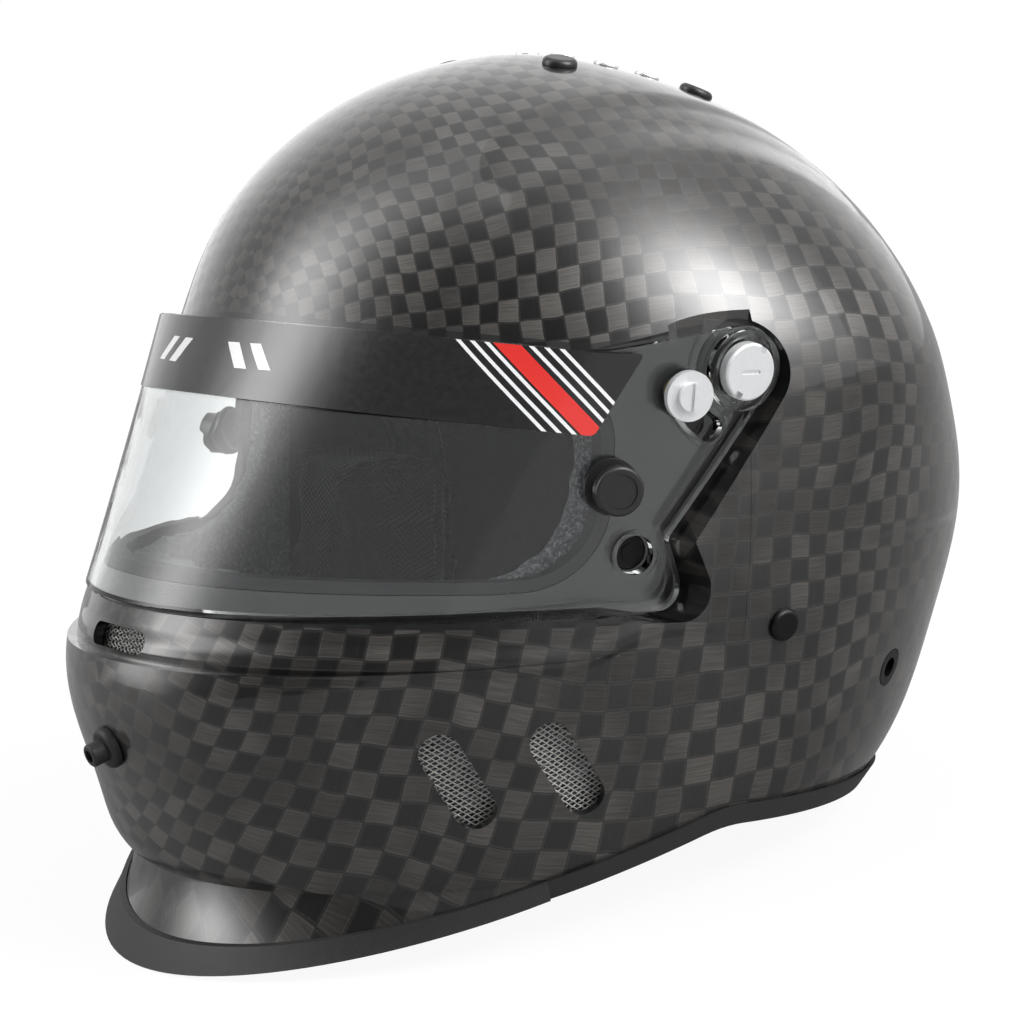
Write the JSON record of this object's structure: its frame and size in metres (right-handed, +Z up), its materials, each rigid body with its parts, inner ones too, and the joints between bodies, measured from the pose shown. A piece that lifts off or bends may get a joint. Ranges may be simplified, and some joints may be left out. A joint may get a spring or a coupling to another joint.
{
  "type": "auto racing helmet",
  "caption": "Full face helmet with a woven laminate shell, a hinged clear visor with a dark top strip, padded interior, chin strap and rubber edge trim.",
  "frame": {"origin": "centre of the bounding box at its bottom, on the ground that the helmet stands on", "axes": "+Z up with the helmet standing on its chin lip and nape, -Y the face, +X the wearer's left"},
  "size_m": [0.2454, 0.3005, 0.2389],
  "materials": {
    "carbon_laminate": "clear lacquer over a plain weave of wide flat tows",
    "black_rubber": "matte",
    "seal_rubber": "soft, matte",
    "clear_sheet": "clear polycarbonate sheet",
    "strip_film": "opaque film with pale pinstripes at its ends",
    "black_plastic": "satin",
    "silver_metal": "fine satin",
    "mesh_metal": "fine woven gauze",
    "liner_foam": "expanded foam beads",
    "lining_fabric": "knitted",
    "felt": "speckled grey felt",
    "webbing": "woven",
    "ring_steel": "polished",
    "black_metal": "black oxide",
    "nylon": "natural nylon",
    "brass_insert": "machined"
  },
  "bodies": {
    "shell": {"anchor_insert_left": "black_metal", "anchor_insert_right": "black_metal", "cheek_pad_left": "lining_fabric", "cheek_pad_right": "lining_fabric", "chin_mesh_left": "mesh_metal", "chin_mesh_right": "mesh_metal", "chin_pad": "felt", "chin_strap_left": "webbing", "chin_strap_right": "webbing", "comfort_liner": "lining_fabric", "crown_plugs": "black_plastic", "crown_rivets": "silver_metal", "drink_port": "black_rubber", "edge_trim": "black_rubber", "eyeport_seal": "seal_rubber", "impact_liner": "liner_foam", "lock_stud_left": "black_metal", "lock_stud_right": "black_metal", "neck_roll": "lining_fabric", "outer_shell": "carbon_laminate", "pivot_bush_left": "nylon", "pivot_bush_right": "nylon", "pivot_screw_left": "silver_metal", "pivot_screw_right": "silver_metal", "slot_mesh": "mesh_metal", "stop_insert_left": "brass_insert", "stop_insert_right": "brass_insert", "stop_screw_left": "silver_metal", "stop_screw_right": "silver_metal", "stop_washer_left": "silver_metal", "stop_washer_right": "silver_metal", "strap_plate_left": "ring_steel", "strap_plate_right": "ring_steel", "strap_rings": "ring_steel", "strap_rivet_left": "black_metal", "strap_rivet_right": "black_metal", "strap_snap": "black_metal"},
    "visor": {"visor": "clear_sheet", "tint_strip": "strip_film", "film_post_left": "black_plastic", "film_post_right": "black_plastic", "post_nut_left": "black_metal", "post_nut_right": "black_metal"}
  },
  "joints": [
    {"name": "visor_pivot", "type": "hinge", "parent": "shell", "child": "visor", "pos_m": [0, 0.00808, 0.15051], "axis": [-1, 0, 0], "range_deg": [0, 38]}
  ]
}
